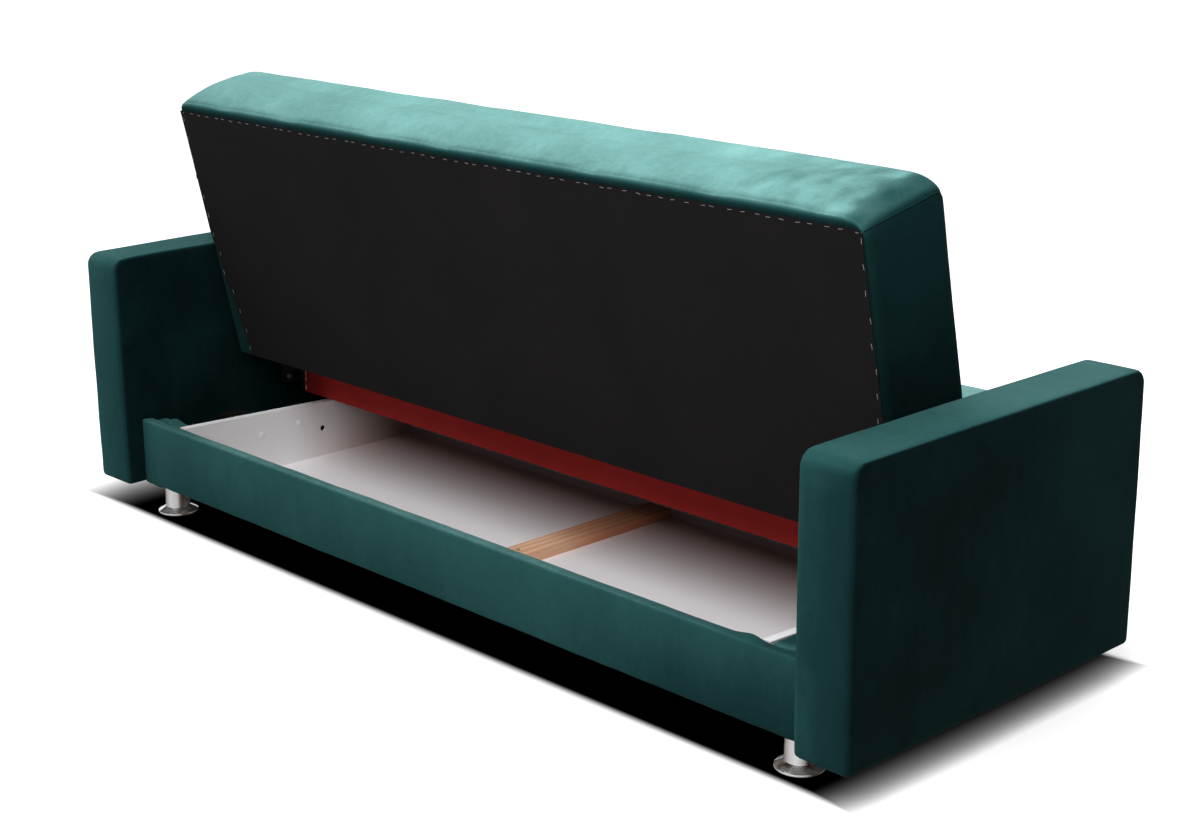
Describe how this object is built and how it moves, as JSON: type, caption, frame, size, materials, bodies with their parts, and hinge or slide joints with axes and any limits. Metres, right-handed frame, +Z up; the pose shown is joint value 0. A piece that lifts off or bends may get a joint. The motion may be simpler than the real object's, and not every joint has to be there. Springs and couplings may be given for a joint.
{
  "type": "sofa bed",
  "caption": "Click-clack sofa bed on metal legs: padded back and seat on steel hinges between two block arms, over an open storage box.",
  "frame": {"origin": "on the floor, in the middle of the closed sofa's outline", "axes": "+X towards the left hand of a person who sits on it, +Y towards its rear, +Z up"},
  "size_m": [2.16, 0.936, 0.9318],
  "materials": {
    "velvet": "short pile velvet, deep teal green",
    "black_lining": "black non-woven lining",
    "red_lining": "dark red woven strip",
    "frame_timber": "planed softwood, unfinished",
    "slat_pine": "planed pine",
    "chipboard": "chipboard, white melamine face",
    "hardboard": "thin fibreboard, white painted face",
    "chrome": "polished chrome",
    "black_plastic": "black plastic",
    "zinc_steel": "zinc plated steel",
    "bracket_steel": "black painted pressed steel",
    "spring_steel": "oil tempered spring wire"
  },
  "bodies": {
    "root": {"arm_frame_left": "frame_timber", "arm_frame_right": "frame_timber", "arm_cover_left": "velvet", "arm_cover_right": "velvet", "rear_rail": "chipboard", "rear_rail_cover": "velvet", "front_rail": "chipboard", "front_rail_cover": "velvet", "box_side_left": "chipboard", "box_side_right": "chipboard", "floor_sheet_left": "hardboard", "floor_sheet_right": "hardboard", "floor_cleats": "frame_timber", "centre_slat": "slat_pine", "corner_blocks": "frame_timber", "arm_spacers": "frame_timber", "tie_bolts": "zinc_steel", "leg_tubes": "chrome", "leg_feet": "chrome", "leg_caps": "black_plastic", "leg_glides": "black_plastic", "leg_bolts": "zinc_steel", "base_plate_left": "bracket_steel", "base_plate_right": "bracket_steel", "bracket_screws": "zinc_steel", "pivot_pins": "zinc_steel"},
    "links": {"swing_link_left": "bracket_steel", "swing_link_right": "bracket_steel", "hub_pins": "zinc_steel"},
    "back": {"back_frame": "frame_timber", "back_springs": "spring_steel", "back_spring_clips": "black_plastic", "back_cushion": "velvet", "back_lining": "black_lining", "back_staples": "zinc_steel", "back_plate_left": "bracket_steel", "back_plate_right": "bracket_steel", "back_bolts": "zinc_steel", "back_spacer_tubes": "zinc_steel", "pawl_pins": "zinc_steel"},
    "pawls": {"pawl_left": "bracket_steel", "pawl_right": "bracket_steel"},
    "ratchet": {"ratchet_wheel_left": "bracket_steel", "ratchet_wheel_right": "bracket_steel"},
    "seat": {"seat_frame": "frame_timber", "seat_springs": "spring_steel", "seat_spring_clips": "black_plastic", "seat_cushion": "velvet", "seat_rear_lining": "red_lining", "seat_bottom_lining": "black_lining", "seat_staples": "zinc_steel", "seat_glides": "black_plastic", "seat_plate_left": "bracket_steel", "seat_plate_right": "bracket_steel", "seat_bolts": "zinc_steel"}
  },
  "joints": [
    {"name": "link_swing", "type": "hinge", "parent": "root", "child": "links", "pos_m": [0, -0.0117, 0.27401], "axis": [1, 0, 0], "range_deg": [0, 53.13]},
    {"name": "back_recline", "type": "hinge", "parent": "links", "child": "back", "pos_m": [0, 0.0333, 0.36401], "axis": [-1, 0, 0], "range_deg": [0, 131.13]},
    {"name": "seat_level", "type": "hinge", "parent": "links", "child": "ratchet", "pos_m": [0, 0.0333, 0.36401], "axis": [-1, 0, 0], "range_deg": [0, 53.13]},
    {"name": "seat_lift", "type": "hinge", "parent": "ratchet", "child": "seat", "pos_m": [0, 0.0333, 0.36401], "axis": [-1, 0, 0], "range_deg": [0, 24]},
    {"name": "pawl_lift", "type": "hinge", "parent": "back", "child": "pawls", "pos_m": [0, 0.04619, 0.42466], "axis": [1, 0, 0], "range_deg": [0, 12]}
  ],
  "couplings": [
    {"joint": "link_swing", "follows": "back_recline", "ratio": 0.40517},
    {"joint": "seat_level", "follows": "back_recline", "ratio": 0.40517}
  ]
}
